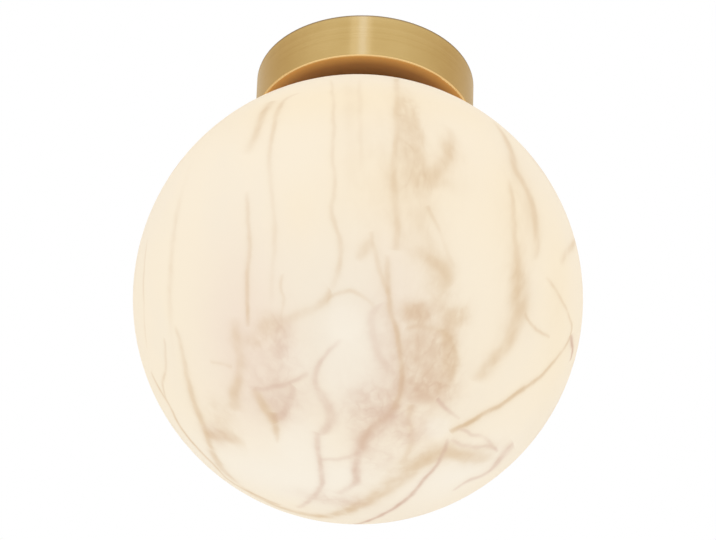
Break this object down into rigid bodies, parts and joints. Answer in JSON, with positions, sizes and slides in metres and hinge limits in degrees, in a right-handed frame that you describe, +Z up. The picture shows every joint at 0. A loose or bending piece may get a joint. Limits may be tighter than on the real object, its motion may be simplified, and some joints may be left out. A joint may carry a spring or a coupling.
{
  "type": "flush mount ceiling light",
  "caption": "Round screw-neck glass globe hung close under a short round brass ceiling canopy, with a screw-cap lamp inside.",
  "frame": {"origin": "on the ceiling plane, midway between the two slots of the mounting plate", "axes": "+Z points up into the ceiling; X runs through the two ceiling slots and the two side grub screws"},
  "size_m": [0.25, 0.25, 0.279],
  "materials": {
    "brass": "satin brushed, lacquered",
    "steel": "zinc plated pressed steel",
    "screw_steel": "plated fasteners",
    "grommet_rubber": "moulded black rubber",
    "gasket_rubber": "pale silicone rubber",
    "porcelain": "white glazed porcelain",
    "contact_brass": "bare brass",
    "block_plastic": "moulded nylon",
    "live_insulation": "brown lead",
    "neutral_insulation": "blue lead",
    "earth_insulation": "green and yellow lead",
    "marble_glass": "matte opal glass with a marble pattern",
    "solder": "solder dome",
    "cap_metal": "nickel plated cap",
    "insulator_black": "black insulator",
    "lamp_white": "white moulded collar",
    "diffuser": "frosted diffuser",
    "board_white": "white circuit board"
  },
  "bodies": {
    "fixture": {"mounting_plate": "steel", "cable_grommet": "grommet_rubber", "canopy": "brass", "canopy_screws": "screw_steel", "gallery_ring": "brass", "gallery_locknut": "contact_brass", "holder_bridge": "steel", "lampholder_body": "porcelain", "lampholder_shell": "contact_brass", "centre_contact": "contact_brass", "holder_screws": "screw_steel", "terminal_block": "block_plastic", "terminal_sleeves": "contact_brass", "terminal_screws": "screw_steel", "block_screws": "screw_steel", "earth_screw": "contact_brass", "earth_tag": "contact_brass", "live_lead": "live_insulation", "neutral_lead": "neutral_insulation", "earth_lead": "earth_insulation"},
    "globe_carrier": {"gasket": "gasket_rubber"},
    "globe": {"globe_glass": "marble_glass"},
    "lamp_carrier": {"lamp_tip": "solder"},
    "lamp": {"cap_insulator": "insulator_black", "lamp_cap": "cap_metal", "lamp_collar": "lamp_white", "led_board": "board_white", "led_driver": "board_white", "lamp_bulb": "diffuser"}
  },
  "joints": [
    {"name": "globe_turn", "type": "hinge", "parent": "globe_carrier", "child": "globe", "pos_m": [0, 0, -0.03], "axis": [0, 0, 1], "range_deg": [-450, 0]},
    {"name": "globe_drop", "type": "slide", "parent": "fixture", "child": "globe_carrier", "axis": [0, 0, 1], "range_m": [-0.01, 0]},
    {"name": "lamp_turn", "type": "hinge", "parent": "lamp_carrier", "child": "lamp", "pos_m": [0, 0, -0.04], "axis": [0, 0, 1], "range_deg": [-1440, 0]},
    {"name": "lamp_drop", "type": "slide", "parent": "fixture", "child": "lamp_carrier", "axis": [0, 0, 1], "range_m": [-0.01452, 0]}
  ],
  "couplings": [
    {"joint": "globe_drop", "follows": "globe_turn", "m_per_rad": 0.0012732},
    {"joint": "lamp_drop", "follows": "lamp_turn", "m_per_rad": 0.00057773}
  ]
}
